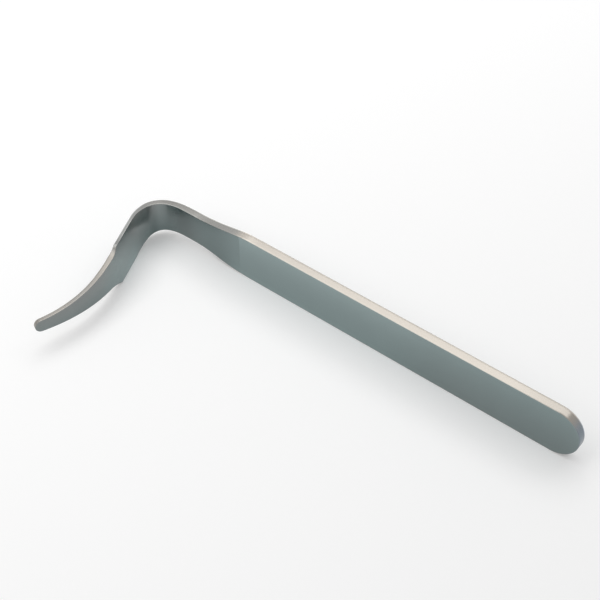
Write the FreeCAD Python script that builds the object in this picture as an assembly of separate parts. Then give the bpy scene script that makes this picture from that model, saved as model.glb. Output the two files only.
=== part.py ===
import FreeCAD, Part
import math
import os

# Handheld surgical retractor forged from one steel strap: a flat handle with a round end, a
# narrow neck, an elbow that turns the strap back under the handle, a flared shoulder plate,
# and a tapered blade that curves away again to a blunt tip.
#
# Frame: the strap stands on its side edge. +Z runs across its width, +X along the handle
# towards the round end, and the blade reaches towards -Y. The origin is the centre of the
# footprint. Lengths are in mm and angles in degrees.
#
# Distances along the strap are measured on its near face, the one on the blade's side. They
# start at the elbow, negative on the handle's side and positive towards the tip.

# Handle and neck
handle_width = 24.0
handle_thickness = 5.3
handle_reach = 223.6        # from the elbow to the handle's round end
neck_reach = 45.3           # from the elbow to where the neck starts to narrow
neck_straight = 9.5         # length of neck beside the elbow that keeps its least width
neck_width = 16.8
neck_thickness = 4.6

# The neck dips a little towards the blade at a crease, and swings back before the elbow
crease_reach = 39.2
crease_angle = 2.6
dip_length = 16.9
dip_angle = 5.4
return_angle = 4.1

# Elbow: a tight bend between two easy ones, radii on the near face
lead_in_radius = 22.6
lead_in_angle = 19.1
elbow_radius = 9.1
elbow_angle = 73.9
lead_out_radius = 31.5
lead_out_angle = 20.3
elbow_edge_thickness = 3.9
elbow_mid_thickness = 4.4

# Shoulder plate, whose back is crowned, so that its edges are thin
flare_start = 9.5
flare_length = 25.2
shoulder_width = 24.0
shoulder_edge_thickness = 1.7
shoulder_mid_thickness = 3.4
shoulder_length = 18.3

# Blade
straight_leg = 19.9         # straight length between the elbow and the blade's first curve
easy_curve_radius = 92.0
easy_curve_angle = 12.7
blade_curve_radius = 65.7
blade_curve_angle = 33.2
blade_root_width = 18.3
blade_tip_width = 6.2
blade_taper_power = 1.5     # 1 gives straight sides, more gives sides that hollow to the tip
step_length = 4.8           # length in which the sides step in from the shoulder
edge_recovery_length = 3.0  # length in which the edges regain thickness below the shoulder
blade_thickness = 3.0
thinning_length = 27.0      # from there to where the blade gets as thin as its tip
tip_thickness = 2.5

# Long edges: a small flat breaks the near ones and an arc rounds the far ones, as a share of
# the strap's thickness at its edge
near_break = 0.06
far_rounding = 0.28

# Spacing of the cross-sections that the curved stretches are drawn through
section_spacing = 2.2


def smooth_step(t):
    # Rises from 0 to 1 as t does, level at both ends
    t = min(max(t, 0.0), 1.0)
    return t * t * (3.0 - 2.0 * t)


def along(stations, u):
    # Value at u of a law that runs smoothly between (place, value) stations
    value = stations[0][1]
    for (start, low), (end, high) in zip(stations, stations[1:]):
        value += (high - low) * smooth_step((u - start) / (end - start))
    return value


def arc_length(radius, angle):
    return radius * math.radians(angle)


# The strap's course in plan from the crease to the tip: (length, turn in degrees) per stretch
course = [
    (dip_length, -dip_angle),
    (crease_reach - dip_length, return_angle),
    (arc_length(lead_in_radius, lead_in_angle), lead_in_angle),
    (arc_length(elbow_radius, elbow_angle), elbow_angle),
    (arc_length(lead_out_radius, lead_out_angle), lead_out_angle),
    (straight_leg, 0.0),
    (arc_length(easy_curve_radius, easy_curve_angle), -easy_curve_angle),
    (arc_length(blade_curve_radius, blade_curve_angle), -blade_curve_angle),
]

plate_at = flare_start + flare_length
shoulder_at = plate_at + shoulder_length
blade_end = sum(length for length, turn in course) - crease_reach
tip_at = blade_end - blade_tip_width / 2


def station(u):
    # Place and heading of the near face at distance u. The handle heads along -X to the crease.
    left = u + crease_reach
    place = FreeCAD.Vector(max(-left, 0.0), 0, 0)
    heading = math.pi
    if left <= 0.0:
        return place, heading
    heading += math.radians(crease_angle)
    for length, turn in course:
        step = min(left, length)
        swing = math.radians(turn) * step / length
        chord = step * (math.sin(swing / 2) / (swing / 2) if swing else 1.0)
        middle = heading + swing / 2
        place += FreeCAD.Vector(chord * math.cos(middle), chord * math.sin(middle), 0)
        heading += swing
        left -= step
        if left <= 0.0:
            break
    return place, heading


strap_width = [
    (-neck_reach, handle_width),
    (-neck_straight, neck_width),
    (flare_start, neck_width),
    (plate_at, shoulder_width),
]
edge_thickness = [
    (-neck_reach, handle_thickness),
    (-neck_straight, neck_thickness),
    (flare_start, elbow_edge_thickness),
    (plate_at, shoulder_edge_thickness),
    (shoulder_at, shoulder_edge_thickness),
    (shoulder_at + edge_recovery_length, blade_thickness),
    (shoulder_at + edge_recovery_length + thinning_length, tip_thickness),
]
mid_thickness = [
    (-neck_reach, handle_thickness),
    (-neck_straight, neck_thickness),
    (flare_start, elbow_mid_thickness),
    (plate_at, shoulder_mid_thickness),
    (tip_at, tip_thickness),
]


def width_at(u):
    if u <= shoulder_at:
        return along(strap_width, u)
    # The blade tapers by a power law, and its sides step in from the shoulder
    left = (blade_end - u) / (blade_end - shoulder_at)
    taper = blade_tip_width + (blade_root_width - blade_tip_width) * left**blade_taper_power
    step = 1.0 - smooth_step((u - shoulder_at) / step_length)
    return taper + (shoulder_width - blade_root_width) * step


def rounded_corner(before, corner, after, reach):
    # Start, middle and end of the arc that rounds a corner from reach before it to reach after
    back = (before - corner).normalize()
    ahead = (after - corner).normalize()
    half = back.getAngle(ahead) / 2
    inward = (back + ahead).normalize()
    middle = corner + inward * (reach / math.cos(half) - reach * math.tan(half))
    return corner + back * reach, middle, corner + ahead * reach


def section(u, half_only=False):
    # Closed outline across the strap at u: flat near face, rounded edges and crowned back
    place, heading = station(u)
    outward = FreeCAD.Vector(math.sin(heading), -math.cos(heading), 0)
    centre = place + FreeCAD.Vector(0, 0, handle_width / 2)
    half_width = width_at(u) / 2
    edge = along(edge_thickness, u)
    middle = max(along(mid_thickness, u), edge)

    def point(depth, height):
        return centre + outward * depth + FreeCAD.Vector(0, 0, height)

    crown = point(2 * middle - edge, 0)
    broken = near_break * edge
    near_low = point(0, half_width - broken)
    near_high = point(broken, half_width)
    far_arc = rounded_corner(near_high, point(edge, half_width), crown, far_rounding * edge)

    def mirrored(p):
        return FreeCAD.Vector(p.x, p.y, handle_width - p.z)

    back = Part.BezierCurve()
    back.setPoles([far_arc[2], crown, mirrored(far_arc[2])])
    if half_only:
        back_middle = back.value(0.5)
        back.segment(0.0, 0.5)
    edges = [
        Part.makeLine(near_low, near_high),
        Part.makeLine(near_high, far_arc[0]),
        Part.Arc(*far_arc).toShape(),
        back.toShape(),
    ]
    if half_only:
        edges.append(Part.makeLine(back_middle, point(0, 0)))
        edges.append(Part.makeLine(point(0, 0), near_low))
        return Part.Wire(edges)
    edges.append(Part.Arc(*[mirrored(p) for p in reversed(far_arc)]).toShape())
    edges.append(Part.makeLine(mirrored(far_arc[0]), mirrored(near_high)))
    edges.append(Part.makeLine(mirrored(near_high), mirrored(near_low)))
    edges.append(Part.makeLine(mirrored(near_low), near_low))
    return Part.Wire(edges)


def stretch(start, end, crowding=1.0):
    # Solid through cross-sections from start to end, closer together at the start if crowded
    count = int(round((end - start) / section_spacing))
    places = [start + (end - start) * (i / count) ** crowding for i in range(count + 1)]
    return Part.makeLoft([section(u) for u in places], True, False)


def round_end(u, turn):
    # Half-round end: the upper half of the cross-section at u, swung about its depth axis
    place, heading = station(u)
    pivot = place + FreeCAD.Vector(0, 0, handle_width / 2)
    depth = FreeCAD.Vector(math.sin(heading), -math.cos(heading), 0)
    return Part.Face(section(u, half_only=True)).revolve(pivot, depth, turn)


handle_end_at = handle_width / 2 - handle_reach
handle_length = FreeCAD.Vector(-neck_reach - handle_end_at, 0, 0)
retractor = Part.Face(section(-neck_reach)).extrude(handle_length)
for piece in [
    round_end(handle_end_at, 180),
    stretch(-neck_reach, -crease_reach),
    stretch(-crease_reach, plate_at),
    stretch(plate_at, shoulder_at),
    stretch(shoulder_at, tip_at, crowding=1.4),
    round_end(tip_at, -180),
]:
    retractor = retractor.fuse(piece)
retractor = retractor.removeSplitter()

box = retractor.optimalBoundingBox()
retractor.translate(FreeCAD.Vector(-(box.XMin + box.XMax) / 2, -(box.YMin + box.YMax) / 2, 0))

os.makedirs("parts", exist_ok=True)
retractor.exportStep("parts/retractor.step")
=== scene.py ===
import bpy
import math
import numpy as np
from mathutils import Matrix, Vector


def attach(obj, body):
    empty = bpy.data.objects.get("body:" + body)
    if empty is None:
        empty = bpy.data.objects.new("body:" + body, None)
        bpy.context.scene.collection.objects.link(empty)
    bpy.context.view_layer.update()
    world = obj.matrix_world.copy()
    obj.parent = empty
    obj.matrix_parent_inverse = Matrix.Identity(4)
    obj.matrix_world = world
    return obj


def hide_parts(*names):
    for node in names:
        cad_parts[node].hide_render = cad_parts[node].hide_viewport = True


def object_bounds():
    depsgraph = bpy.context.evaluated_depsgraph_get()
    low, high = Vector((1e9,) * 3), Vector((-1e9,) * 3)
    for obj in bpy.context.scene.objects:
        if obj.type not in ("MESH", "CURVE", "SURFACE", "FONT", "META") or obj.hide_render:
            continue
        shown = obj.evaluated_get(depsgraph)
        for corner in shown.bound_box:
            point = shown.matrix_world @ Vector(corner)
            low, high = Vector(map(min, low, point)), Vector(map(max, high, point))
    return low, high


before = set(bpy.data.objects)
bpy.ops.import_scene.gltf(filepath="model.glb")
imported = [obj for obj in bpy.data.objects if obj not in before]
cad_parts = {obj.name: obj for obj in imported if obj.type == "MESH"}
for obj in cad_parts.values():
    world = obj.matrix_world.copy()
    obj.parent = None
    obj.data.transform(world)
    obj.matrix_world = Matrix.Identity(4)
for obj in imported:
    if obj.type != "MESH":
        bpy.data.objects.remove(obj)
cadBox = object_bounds()
print("frame loaded")


def arcLength(radius, turn):
    return radius * math.radians(turn)


# Strap shape in metres. Distances run along the near face, the one on the blade's side. They are
# negative on the handle, 0 where the elbow starts, and positive towards the tip
cadLow, cadHigh = cadBox
handleThickness = 0.0053
strap = {
    "handleEnd": cadHigh[0],
    "nearFace": cadHigh[1] - handleThickness,
    "midHeight": (cadLow[2] + cadHigh[2]) / 2,
    "handleReach": 0.2236,
    "handleRadius": 0.012,
    "creaseAt": -0.0392,
    "creaseTurn": 2.6,
    "creaseLength": 0.000001,
    # length and turn in degrees of each stretch from the crease to the tip
    "course": [
        (0.0169, -5.4),  # the neck dips
        (0.0223, 4.1),  # and swings back
        (arcLength(0.0226, 19.1), 19.1),  # the elbow starts gently
        (arcLength(0.0091, 73.9), 73.9),  # bends tightly
        (arcLength(0.0315, 20.3), 20.3),  # and eases out
        (0.0199, 0.0),  # the shoulder plate is straight
        (arcLength(0.0920, 12.7), -12.7),  # the blade curves back
        (arcLength(0.0657, 33.2), -33.2),  # and more so at its tip
    ],
    "courseSteps": 24001,
    # width, thickness at the edges and thickness in the middle: (place, value)
    "width": [(-0.0453, 0.0240), (-0.0095, 0.0168), (0.0095, 0.0168), (0.0347, 0.0240)],
    "edge": [(-0.0453, handleThickness), (-0.0095, 0.0046), (0.0095, 0.0039), (0.0347, 0.0017),
             (0.0530, 0.0017), (0.0576, 0.0030), (0.0830, 0.0025)],
    "middle": [(-0.0453, handleThickness), (-0.0095, 0.0046), (0.0095, 0.00437), (0.0347, 0.0034),
               (0.1057, 0.0025)],
    # how far the shoulder plate's near face stands proud at its middle
    "nearCrown": [(0.0080, 0.0), (0.0340, 0.00115), (0.0480, 0.00115), (0.0640, 0.0)],
    "shoulder": 0.0530,
    "upperStep": (0.0530, 0.0041),  # where the side steps in to the blade, and over what length
    "lowerStep": (0.0520, 0.0102),
    "stepEase": 0.6,
    "rootWidth": 0.0180,
    "tipWidth": 0.0062,
    "taperPower": 1.5,  # 1 gives straight sides, more gives sides that hollow to the tip
    "tipTries": 8,
    # table of the width, and how far its corners are blurred
    "tableFrom": -0.06,
    "tableBeyond": 0.002,
    "tableStep": 0.00005,
    "cornerBlur": 0.0004,
    "blurSteps": 40,
    # long edges, as shares of the edge's thickness
    "nearBreak": 0.06,
    "farRounding": 0.28,
    # points along the outline
    "handleArcPoints": 49,
    "handlePoints": 45,
    "bentFrom": -0.0460,
    "spacing": 0.0004,
    "tipArcPoints": 25,
    # points across the strap: shares of the way from the edge to the middle, or counts
    "nearShares": (1.0, 0.85, 0.7, 0.55, 0.4, 0.25, 0.08),
    "breakPoints": 6,
    "sideShares": (0.25, 0.5, 0.75),
    "roundingPoints": 9,
    "backShares": (0.08, 0.2, 0.35, 0.5, 0.65, 0.8, 1.0),
    "sideColorPower": 3,  # how far the side edge's colour, with its painted highlight, runs round the far rounding
    "leastRim": 0.00001,
    "mergeDistance": 2e-7,
}


# Satin steel: the faces are ground along the strap, the side edges are polished. The colours hold
# painted reflection: the faces' cyan tint, the side edges' warm tint and their greyer and bluish
# colours stand for the tints of what they mirror. Places are distances along the strap, as above
steel = {
    "faceColor": (0.252, 0.311, 0.311),
    "neutralColor": (0.290, 0.311, 0.308),
    "sideColor": (0.347, 0.322, 0.289),
    "coolSideColor": (0.287, 0.291, 0.284),
    "endColor": (0.235, 0.272, 0.308),
    # roughness of the faces along the strap, and of the side edges
    "faceRoughness": [(-0.0100, 0.24), (0.0200, 0.31), (0.0480, 0.31), (0.0640, 0.24)],
    "sideRoughness": 0.26,
    # grinding lines: how wide and how long, how much they change colour and roughness, how deep
    "lineWidth": 0.00022,
    "lineLength": 0.0070,
    "lineDetail": 2.0,
    "lineBreakup": 0.6,
    "lineTone": 0.05,
    "lineRoughness": 0.08,
    "lineDepth": 0.0000025,
    # cloudiness left by handling and cleaning
    "cloudSize": 0.0090,
    "cloudDetail": 3.0,
    "cloudBreakup": 0.55,
    "cloudTone": 0.035,
    "cloudRoughness": 0.04,
    # painted reflection shade: how bright the faces' mirror image of floor and strap is painted
    # along
    # the strap: (place, share of faceColor)
    "toneAndPaintedShade": [(-0.2236, 0.87), (-0.1600, 0.90), (-0.1200, 1.0), (-0.0393, 1.0), (-0.0385, 0.88),
             (-0.0230, 0.72), (-0.0040, 0.84), (0.0050, 1.0), (0.0120, 0.84), (0.0155, 0.74),
             (0.0205, 0.94), (0.0260, 0.99), (0.0350, 1.01), (0.0480, 1.00), (0.0850, 0.76)],
    # painted shade: how much darker they get towards the upper side
    "paintedShadeLean": [(-0.1500, -0.05), (-0.0900, 0.0), (-0.0393, 0.0), (-0.0385, 0.14), (-0.0230, 0.03),
             (0.0000, -0.24), (0.0120, 0.0), (0.0190, -0.20), (0.0290, -0.15), (0.0380, 0.17),
             (0.0560, 0.20), (0.0850, 0.02)],
    # painted reflection: how much brighter they get towards both sides
    "paintedReflectionCup": [(-0.1500, 0.04), (-0.0900, 0.10), (-0.0393, 0.10), (-0.0300, 0.0), (0.0120, 0.0),
            (0.0190, 0.32), (0.0290, 0.28), (0.0380, 0.12), (0.0500, 0.0)],
    # painted reflection tint: share of neutralColor in them, what is added towards the upper side
    # and towards both sides
    "neutral": [(-0.1700, 0.15), (-0.1300, 0.0), (-0.0200, 0.0), (0.0, 0.5), (0.0240, 0.4),
                (0.0400, 0.15), (0.0600, 0.3), (0.0720, 0.65), (0.0850, 0.75)],
    "neutralLean": [(-0.1700, -0.2), (-0.1300, 0.0), (-0.0060, 0.0), (0.0100, 0.5),
                    (0.0190, 1.05), (0.0330, 1.05), (0.0420, 0.5), (0.0560, 0.3),
                    (0.0720, 0.9), (0.0850, 1.0)],
    "neutralCup": [(0.0120, 0.0), (0.0190, 0.55), (0.0330, 0.55), (0.0420, 0.0)],
    "backTone": 0.96,
    "backNeutral": 0.45,
    # side edges, painted reflection: share of coolSideColor where they mirror greyer surroundings,
    # share of endColor round the handle's end, and the brightness of what they mirror
    "cool": [(-0.0400, 0.0), (-0.0340, 0.7), (0.0100, 0.7), (0.0300, 1.0), (0.0520, 1.0),
             (0.0570, 0.2), (0.0640, 0.2), (0.0830, 0.5), (0.0960, 0.35)],
    "handleEnd": [(-0.2225, 1.0), (-0.2170, 0.0)],
    "paintedSideLight": [(-0.2100, 0.89), (-0.1900, 0.97), (-0.1500, 0.94), (-0.0900, 0.94),
                 (-0.0480, 1.00), (-0.0430, 1.26), (-0.0390, 1.30), (-0.0350, 1.12),
                 (-0.0150, 1.07), (-0.0050, 0.82), (0.0110, 0.78), (0.0190, 1.03),
                 (0.0300, 1.16), (0.0440, 1.01), (0.0530, 0.72), (0.0620, 0.72),
                 (0.0720, 0.69), (0.0870, 0.80), (0.0980, 0.90)],
    "paintedRimGlint": 0.80,  # painted highlight: how much brighter the far rounding is painted
    "rimRise": 0.3,  # share of the rounding in which that comes in
}


def smoothStep(t):
    # 3 t squared less 2 t cubed, level below 0 and above 1
    t = np.clip(t, 0.0, 1.0)
    return t * t * (3.0 - 2.0 * t)


def law(stations, u):
    # first value plus a smooth step for each station that follows
    value = np.full_like(u, stations[0][1])
    for (a, low), (b, high) in zip(stations, stations[1:]):
        value = value + (high - low) * smoothStep((u - a) / (b - a))
    return value


def bentCourse(s):
    # fine table along the near face: heading is the sum of the turns so far, place the sum of
    # short strides, each along its heading
    lengths = [length for length, _ in s["course"]]
    turns = [math.radians(turn) for _, turn in s["course"]]
    knots = s["creaseAt"] + np.cumsum([0.0, s["creaseLength"]] + lengths)
    headings = math.pi + np.cumsum([0.0, math.radians(s["creaseTurn"])] + turns)
    u = np.linspace(-s["handleReach"], knots[-1], s["courseSteps"])
    heading = np.interp(u, knots, headings)
    stride = np.diff(u)
    middle = (heading[1:] + heading[:-1]) / 2
    x = s["handleEnd"] + np.concatenate([[0.0], np.cumsum(np.cos(middle) * stride)])
    y = s["nearFace"] + np.concatenate([[0.0], np.cumsum(np.sin(middle) * stride)])
    return {"u": u, "x": x, "y": y, "heading": heading, "end": knots[-1]}


def halfWidth(s, course, u, step="upperStep"):
    # station law to the shoulder plate, then a smooth step in to the blade, which is the tip's
    # width plus a power of the length left. A bell-shaped blur takes the sharpness off corners
    start, length = s[step]
    fine = np.arange(s["tableFrom"], course["end"] + s["tableBeyond"], s["tableStep"])
    body = law(s["width"], fine)
    left = np.clip((course["end"] - fine) / (course["end"] - s["shoulder"]), 0.0, None)
    blade = s["tipWidth"] + (s["rootWidth"] - s["tipWidth"]) * left ** s["taperPower"]
    share = smoothStep(np.clip((fine - start) / length, 0.0, 1.0) ** s["stepEase"])
    raw = (body + (blade - body) * share) / 2
    reach = np.arange(-s["blurSteps"], s["blurSteps"] + 1) * s["tableStep"]
    kernel = np.exp(-0.5 * (reach / s["cornerBlur"]) ** 2)
    padded = np.pad(raw, s["blurSteps"], mode="edge")
    return np.interp(u, fine, np.convolve(padded, kernel / kernel.sum(), "valid"))


def sideOutline(s, course, step):
    # one half of the developed strap's outline, from the middle of the handle's end over the
    # side to the middle of the tip: a quarter circle, the width law, and a quarter circle whose
    # radius is the half width where it starts, found by repeated tries
    r = s["handleRadius"]
    tipRadius = s["tipWidth"] / 2
    for _ in range(s["tipTries"]):
        tipRadius = float(halfWidth(s, course, np.array([course["end"] - tipRadius]))[0])
    tipAt = course["end"] - tipRadius
    a = np.linspace(0.0, math.pi / 2, s["handleArcPoints"])
    b = np.linspace(0.0, math.pi / 2, s["tipArcPoints"])
    handle = np.linspace(r - s["handleReach"], s["bentFrom"], s["handlePoints"])[1:-1]
    bent = np.arange(s["bentFrom"], tipAt - s["spacing"] / 4, s["spacing"])
    u = np.concatenate([r * (1 - np.cos(a)) - s["handleReach"], handle, bent,
                        tipAt + tipRadius * np.sin(b)])
    w = np.concatenate([r * np.sin(a), np.full(len(handle), r),
                        halfWidth(s, course, bent, step), tipRadius * np.cos(b)])
    return u, w, tipAt


def halfGrid(s, course, step):
    # Two parameters: one runs round the outline, the other across the strap from the near face's
    # middle over the edge to the back's middle. Each point is the outline's point moved inwards
    # by an inset, then a share of the way to the middle, and out from the near face by a depth
    u, w, tipAt = sideOutline(s, course, step)
    du, dw = np.gradient(u), np.gradient(w)
    length = np.hypot(du, dw)
    inU, inW = dw / length, -du / length
    inU[0], inW[0] = 1.0, 0.0
    inU[-1], inW[-1] = -1.0, 0.0
    centreU = np.clip(u, s["handleRadius"] - s["handleReach"], tipAt)

    beforeTip = np.minimum(u, tipAt)
    edge = law(s["edge"], beforeTip)
    middle = np.maximum(law(s["middle"], beforeTip), edge)
    nearCrown = law(s["nearCrown"], beforeTip)
    broken = s["nearBreak"] * edge
    rounded = s["farRounding"] * edge
    sides = slice(s["handleArcPoints"], -s["tipArcPoints"])
    flank = np.interp(centreU, u[sides], w[sides])
    slope = np.arctan(2.0 * (middle - edge) / flank)  # of the back where it meets the rounding
    radius = rounded * np.tan(math.pi / 4 + slope / 2)

    columns = []  # (surface, inset, depth, share of the way to the middle, how much of a side edge)
    zero = np.zeros_like(u)
    for share in s["nearShares"]:
        columns.append(("near", broken, zero, share, 0.0))
    for a in np.linspace(0.0, math.pi / 2, s["breakPoints"]):
        columns.append(("edge", broken * (1 - math.sin(a)), broken * (1 - math.cos(a)), 0.0,
                        math.sin(a)))
    for share in s["sideShares"]:
        columns.append(("edge", zero, broken + (edge - rounded - broken) * share, 0.0, 1.0))
    for share in np.linspace(0.0, 1.0, s["roundingPoints"]):
        a = share * (math.pi / 2 - slope)
        columns.append(("edge", radius * (1 - np.cos(a)), edge - rounded + radius * np.sin(a), 0.0,
                        1.0 - share ** s["sideColorPower"]))
    backInset, backDepth = columns[-1][1], columns[-1][2]
    for share in s["backShares"]:
        columns.append(("back", backInset, zero, share, 0.0))

    pointU, pointW, depth, side = [], [], [], []
    for surface, inset, out, share, sideShare in columns:
        pu = (u + inset * inU) * (1 - share) + centreU * share
        pw = (w + inset * inW) * (1 - share)
        if surface == "near":
            out = -nearCrown * (1.0 - np.clip(pw / flank, 0.0, 1.0) ** 2)
        elif surface == "back":
            rim = np.maximum(flank - backInset, s["leastRim"])
            out = middle - (middle - backDepth) * np.clip(pw / rim, 0.0, 1.0) ** 2
        pointU.append(pu)
        pointW.append(pw)
        depth.append(out)
        side.append(np.full_like(u, sideShare))
    return [np.array(v).T for v in (pointU, pointW, depth, side)]


def strapMesh(s):
    # both halves carried round the bends: place on the course plus depth along its outward side
    course = bentCourse(s)
    points, along, sides, faces = [], [], [], []
    for up, step in ((1.0, "upperStep"), (-1.0, "lowerStep")):
        pointU, pointW, depth, side = halfGrid(s, course, step)
        heading = np.interp(pointU, course["u"], course["heading"])
        x = np.interp(pointU, course["u"], course["x"]) + depth * np.sin(heading)
        y = np.interp(pointU, course["u"], course["y"]) - depth * np.cos(heading)
        points.append(np.stack([x, y, s["midHeight"] + up * pointW], -1).reshape(-1, 3))
        along.append(np.stack([pointU, up * pointW, depth], -1).reshape(-1, 3))
        sides.append(side.reshape(-1))
        rows, cols = x.shape
        grid = np.arange(rows * cols).reshape(rows, cols)
        a, b, c, d = grid[:-1, :-1], grid[1:, :-1], grid[1:, 1:], grid[:-1, 1:]
        quads = np.stack([a, b, c, d], -1).reshape(-1, 4)
        faces.append(quads[:, ::-1] if up > 0 else quads + rows * cols)  # both face outwards
    return [np.concatenate(v) for v in (points, faces, along, sides)]


def makePiece(name, points, faces, attributes, mergeDistance):
    # points that share a place are merged, so that seams and poles close. A quad with two
    # corners in one place becomes a triangle, and one with fewer than three places is dropped
    keys = np.round(points / mergeDistance).astype(np.int64)
    _, first, inverse = np.unique(keys, axis=0, return_index=True, return_inverse=True)
    faces = inverse.reshape(-1)[faces]
    repeated = faces == np.roll(faces, -1, axis=1)
    corners = 4 - repeated.sum(axis=1)
    quads = faces[corners == 4]
    triangles = faces[corners == 3][~repeated[corners == 3]].reshape(-1, 3)
    mesh = bpy.data.meshes.new(name)
    mesh.from_pydata(points[first].tolist(), [], quads.tolist() + triangles.tolist())
    for key, (kind, field, values) in attributes.items():
        store = mesh.attributes.new(key, kind, "POINT")
        store.data.foreach_set(field, np.ascontiguousarray(values[first], dtype=np.float32).ravel())
    mesh.shade_smooth()
    mesh.validate()
    mesh.update()
    piece = bpy.data.objects.new(name, mesh)
    bpy.context.scene.collection.objects.link(piece)
    return piece


def steelAndPaintedLightColors(s, shape, along):
    # colour of the ground faces: painted reflection shade (a plain tone on the back) times a mix of
    # the two face colours, where both the shade and the painted tint change with the place across
    # by a straight and a squared part. Colour of the polished side edges: painted brightness of
    # what they mirror times a mix of their tinted colours, with the far rounding's painted glint
    u, w, depth = along.T
    edge = law(shape["edge"], u)
    across = w / shape["midHeight"]
    toneAndPaintedShade = law(s["toneAndPaintedShade"], u) * (1.0 - law(s["paintedShadeLean"], u) * across + law(s["paintedReflectionCup"], u) * across ** 2)
    neutral = law(s["neutral"], u) + law(s["neutralLean"], u) * across
    neutral = neutral + law(s["neutralCup"], u) * across ** 2
    onBack = depth > edge / 2
    toneAndPaintedShade = np.where(onBack, s["backTone"], toneAndPaintedShade)[:, None]
    neutral = np.where(onBack, s["backNeutral"], neutral)[:, None]
    faceSteelAndPaintedLight = np.array(s["faceColor"]) * (1.0 - neutral) + np.array(s["neutralColor"]) * neutral
    # painted reflection tints and brightness of the side edges
    cool = law(s["cool"], u)[:, None]
    sideSteelAndPaintedLight = np.array(s["sideColor"]) * (1.0 - cool) + np.array(s["coolSideColor"]) * cool
    end = law(s["handleEnd"], u)[:, None]
    sideSteelAndPaintedLight = sideSteelAndPaintedLight * (1.0 - end) + np.array(s["endColor"]) * end
    # painted highlight that brightens the far rounding
    roundedShare = (depth / edge - 1.0 + shape["farRounding"]) / shape["farRounding"]
    glint = s["paintedRimGlint"] * smoothStep(roundedShare / s["rimRise"])
    paintedSideLight = (law(s["paintedSideLight"], u) * (1.0 + glint))[:, None]
    opaque = np.ones((len(u), 1))
    return np.hstack([faceSteelAndPaintedLight * toneAndPaintedShade, opaque]), np.hstack([sideSteelAndPaintedLight * paintedSideLight, opaque])


points, faces, along, side = strapMesh(strap)
faceSteelAndPaintedLight, sideSteelAndPaintedLight = steelAndPaintedLightColors(steel, strap, along)
retractorPiece = makePiece("retractorStrap", points, faces, {
    "along": ("FLOAT_VECTOR", "vector", along),
    "side": ("FLOAT", "value", side),
    "faceSteelAndPaintedLight": ("FLOAT_COLOR", "color", faceSteelAndPaintedLight),
    "sideSteelAndPaintedLight": ("FLOAT_COLOR", "color", sideSteelAndPaintedLight),
    "roughness": ("FLOAT", "value", law(steel["faceRoughness"], along[:, 0])),
}, strap["mergeDistance"])
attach(retractorPiece, "root")
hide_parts("retractor")
print("strap built:", len(retractorPiece.data.vertices), "points")


def attribute(nodes, name):
    node = nodes.new("ShaderNodeAttribute")
    node.attribute_name = name
    return node


def mathNode(tree, operation, first, second):
    # each of the two is a number or a socket
    node = tree.nodes.new("ShaderNodeMath")
    node.operation = operation
    for slot, value in enumerate((first, second)):
        if isinstance(value, (int, float)):
            node.inputs[slot].default_value = value
        else:
            tree.links.new(value, node.inputs[slot])
    return node.outputs[0]


def groupTree(name, inputs, outputs):
    tree = bpy.data.node_groups.new(name, "ShaderNodeTree")
    for key, kind in inputs:
        tree.interface.new_socket(name=key, in_out="INPUT", socket_type="NodeSocket" + kind)
    for key, kind in outputs:
        tree.interface.new_socket(name=key, in_out="OUTPUT", socket_type="NodeSocket" + kind)
    return tree, tree.nodes.new("NodeGroupInput").outputs, tree.nodes.new("NodeGroupOutput").inputs


def grindingLines(detail, breakup):
    # noise drawn out along the strap: place divided by line length along it and by line width
    # across it and through it. Gives a mask around 0.5, and its height, the mask times the depth
    tree, given, result = groupTree(
        "grindingLines", [("Along", "Vector"), ("Width", "Float"), ("Length", "Float"),
                          ("Depth", "Float")], [("Mask", "Float"), ("Height", "Float")])
    size = tree.nodes.new("ShaderNodeCombineXYZ")
    tree.links.new(given["Length"], size.inputs["X"])
    tree.links.new(given["Width"], size.inputs["Y"])
    tree.links.new(given["Width"], size.inputs["Z"])
    place = tree.nodes.new("ShaderNodeVectorMath")
    place.operation = "DIVIDE"
    tree.links.new(given["Along"], place.inputs[0])
    tree.links.new(size.outputs["Vector"], place.inputs[1])
    noise = tree.nodes.new("ShaderNodeTexNoise")
    noise.inputs["Scale"].default_value = 1.0
    noise.inputs["Detail"].default_value = detail
    noise.inputs["Roughness"].default_value = breakup
    tree.links.new(place.outputs["Vector"], noise.inputs["Vector"])
    tree.links.new(noise.outputs["Fac"], result["Mask"])
    tree.links.new(mathNode(tree, "MULTIPLY", noise.outputs["Fac"], given["Depth"]),
                   result["Height"])
    return tree


def softClouds(detail, breakup):
    # noise of one size in every direction. Gives a mask around 0.5
    tree, given, result = groupTree("softClouds", [("Place", "Vector"), ("Size", "Float")],
                                    [("Mask", "Float")])
    noise = tree.nodes.new("ShaderNodeTexNoise")
    noise.inputs["Detail"].default_value = detail
    noise.inputs["Roughness"].default_value = breakup
    tree.links.new(given["Place"], noise.inputs["Vector"])
    tree.links.new(mathNode(tree, "DIVIDE", 1.0, given["Size"]), noise.inputs["Scale"])
    tree.links.new(noise.outputs["Fac"], result["Mask"])
    return tree


def swing(tree, lines, lineShare, clouds, cloudShare):
    # 1, up or down by each mask's share as the mask goes up to 1 or down to 0
    total = mathNode(tree, "MULTIPLY_ADD", lines, 2.0 * lineShare)
    total.node.inputs[2].default_value = 1.0 - lineShare - cloudShare
    both = mathNode(tree, "MULTIPLY_ADD", clouds, 2.0 * cloudShare)
    tree.links.new(total, both.node.inputs[2])
    return both


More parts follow.
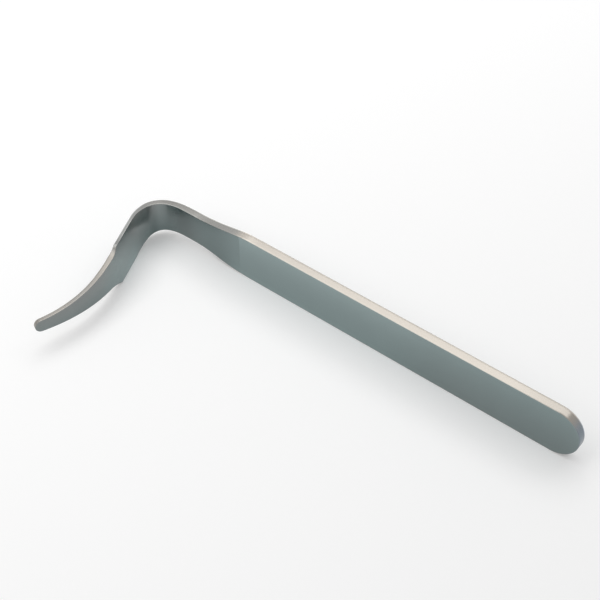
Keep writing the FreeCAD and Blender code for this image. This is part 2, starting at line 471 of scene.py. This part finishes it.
def satinSteel(s):
    # colour and roughness go from the faces' to the side edges', each times the swing of lines
    # and clouds, and the lines' height bumps the surface
    material = bpy.data.materials.new("satinSteel")
    material.use_nodes = True
    tree = material.node_tree
    nodes, links = tree.nodes, tree.links
    shader = nodes["Principled BSDF"]
    shader.inputs["Metallic"].default_value = 1.0

    lines = nodes.new("ShaderNodeGroup")
    lines.node_tree = grindingLines(s["lineDetail"], s["lineBreakup"])
    links.new(attribute(nodes, "along").outputs["Vector"], lines.inputs["Along"])
    lines.inputs["Width"].default_value = s["lineWidth"]
    lines.inputs["Length"].default_value = s["lineLength"]
    lines.inputs["Depth"].default_value = s["lineDepth"]
    clouds = nodes.new("ShaderNodeGroup")
    clouds.node_tree = softClouds(s["cloudDetail"], s["cloudBreakup"])
    clouds.inputs["Size"].default_value = s["cloudSize"]
    links.new(nodes.new("ShaderNodeTexCoord").outputs["Object"], clouds.inputs["Place"])

    side = attribute(nodes, "side").outputs["Fac"]
    # mixes the faces' and side edges' colours, both holding painted reflection and shade
    color = nodes.new("ShaderNodeMix")
    color.data_type = "RGBA"
    links.new(side, color.inputs["Factor"])
    links.new(attribute(nodes, "faceSteelAndPaintedLight").outputs["Color"], color.inputs["A"])
    links.new(attribute(nodes, "sideSteelAndPaintedLight").outputs["Color"], color.inputs["B"])
    shade = nodes.new("ShaderNodeVectorMath")
    shade.operation = "SCALE"
    links.new(color.outputs["Result"], shade.inputs[0])
    links.new(swing(tree, lines.outputs["Mask"], s["lineTone"], clouds.outputs["Mask"],
                    s["cloudTone"]), shade.inputs["Scale"])
    links.new(shade.outputs["Vector"], shader.inputs["Base Color"])

    rough = nodes.new("ShaderNodeMix")
    links.new(attribute(nodes, "roughness").outputs["Fac"], rough.inputs["A"])
    rough.inputs["B"].default_value = s["sideRoughness"]
    links.new(side, rough.inputs["Factor"])
    links.new(mathNode(tree, "MULTIPLY", rough.outputs["Result"],
                       swing(tree, lines.outputs["Mask"], s["lineRoughness"],
                             clouds.outputs["Mask"], s["cloudRoughness"])),
              shader.inputs["Roughness"])

    bump = nodes.new("ShaderNodeBump")
    bump.inputs["Distance"].default_value = 1.0
    links.new(lines.outputs["Height"], bump.inputs["Height"])
    links.new(bump.outputs["Normal"], shader.inputs["Normal"])
    return material


retractorPiece.data.materials.append(satinSteel(steel))
print("steel made")


# Floor, light and camera
studio = {
    "floorHalf": 3.0,
    "floorShade": 0.86,
    "floorRoughness": 0.9,
    "floorLift": 0.16,  # light that the floor gives off to the camera and to reflections
    "sweepLift": 0.30,  # what is added to it towards the horizon
    "sweepReach": (0.35, 1.8),  # between which distances that comes in
    "backdropShade": 0.90,  # world as the camera and reflections see it
    "fillShade": 0.45,  # world as it lights surfaces
    "softboxGlow": 1.66,  # 1 is as bright as a white world
    "softboxAt": (-0.45, -0.10, 0.90),
    "softboxAim": (-0.45, -0.10, 0.0),
    "softboxSize": (0.70, 2.50),
    "endSoftboxAt": (0.20, 0.80, 0.90),  # carries the softbox on where the handle's end mirrors it
    "endSoftboxAim": (0.20, 0.80, 0.0),
    "endSoftboxSize": (0.60, 0.50),
    "cameraAt": (0.214598, -0.247832, 0.366136),
    "cameraAim": (-0.021744, 0.039610, 0.012),
    "sensorWidth": 36.0,
    "lens": 66.6,
}


def turnTo(thing, place, aim):
    thing.location = place
    thing.rotation_mode = "QUATERNION"
    thing.rotation_quaternion = (Vector(aim) - Vector(place)).to_track_quat("-Z", "Y")


def seenDirectly(tree):
    # 1 for what the camera sees, also in metal and through glass, and 0 for light on surfaces
    path = tree.nodes.new("ShaderNodeLightPath").outputs
    mirrored = mathNode(tree, "MAXIMUM", path["Is Glossy Ray"], path["Is Transmission Ray"])
    return mathNode(tree, "MAXIMUM", path["Is Camera Ray"], mirrored)


def buildFloor(s):
    # plain square, whose own light rises smoothly with the distance from the origin
    half = s["floorHalf"]
    mesh = bpy.data.meshes.new("studioFloor")
    mesh.from_pydata([(-half, -half, 0), (half, -half, 0), (half, half, 0), (-half, half, 0)], [],
                     [(0, 1, 2, 3)])
    floor = bpy.data.objects.new("studioFloor", mesh)
    bpy.context.scene.collection.objects.link(floor)
    material = bpy.data.materials.new("paleFloor")
    material.use_nodes = True
    tree = material.node_tree
    nodes, links = tree.nodes, tree.links
    shader = nodes["Principled BSDF"]
    shader.inputs["Base Color"].default_value = (*[s["floorShade"]] * 3, 1)
    shader.inputs["Roughness"].default_value = s["floorRoughness"]
    shader.inputs["Specular IOR Level"].default_value = 0.0
    shader.inputs["Emission Color"].default_value = (1, 1, 1, 1)
    distance = nodes.new("ShaderNodeVectorMath")
    distance.operation = "LENGTH"
    links.new(nodes.new("ShaderNodeTexCoord").outputs["Object"], distance.inputs[0])
    sweep = nodes.new("ShaderNodeMapRange")
    sweep.interpolation_type = "SMOOTHSTEP"
    sweep.inputs["From Min"].default_value = s["sweepReach"][0]
    sweep.inputs["From Max"].default_value = s["sweepReach"][1]
    sweep.inputs["To Min"].default_value = s["floorLift"]
    sweep.inputs["To Max"].default_value = s["floorLift"] + s["sweepLift"]
    links.new(distance.outputs["Value"], sweep.inputs["Value"])
    links.new(mathNode(tree, "MULTIPLY", seenDirectly(tree), sweep.outputs["Result"]),
              shader.inputs["Emission Strength"])
    mesh.materials.append(material)


def areaLight(name, place, aim, size, glow):
    # power is glow times pi times area
    lamp = bpy.data.lights.new(name, "AREA")
    lamp.shape = "RECTANGLE"
    lamp.size, lamp.size_y = size
    lamp.energy = glow * math.pi * size[0] * size[1]
    light = bpy.data.objects.new(name, lamp)
    bpy.context.scene.collection.objects.link(light)
    turnTo(light, place, aim)


def buildWorld(s):
    world = bpy.data.worlds.new("studioWorld")
    bpy.context.scene.world = world
    world.use_nodes = True
    tree = world.node_tree
    strength = tree.nodes.new("ShaderNodeMix")
    strength.inputs["A"].default_value = s["fillShade"]
    strength.inputs["B"].default_value = s["backdropShade"]
    tree.links.new(seenDirectly(tree), strength.inputs["Factor"])
    backdrop = tree.nodes["Background"]
    backdrop.inputs["Color"].default_value = (1, 1, 1, 1)
    tree.links.new(strength.outputs["Result"], backdrop.inputs["Strength"])


def placeCamera(s):
    lens = bpy.data.cameras.new("photoCamera")
    lens.sensor_width = s["sensorWidth"]
    lens.lens = s["lens"]
    camera = bpy.data.objects.new("photoCamera", lens)
    bpy.context.scene.collection.objects.link(camera)
    turnTo(camera, s["cameraAt"], s["cameraAim"])
    bpy.context.scene.camera = camera


buildFloor(studio)
areaLight("overheadSoftbox", studio["softboxAt"], studio["softboxAim"], studio["softboxSize"],
          studio["softboxGlow"])
areaLight("endSoftbox", studio["endSoftboxAt"], studio["endSoftboxAim"], studio["endSoftboxSize"],
          studio["softboxGlow"])
buildWorld(studio)
placeCamera(studio)
bpy.context.scene.view_settings.view_transform = "Standard"
print("studio ready")
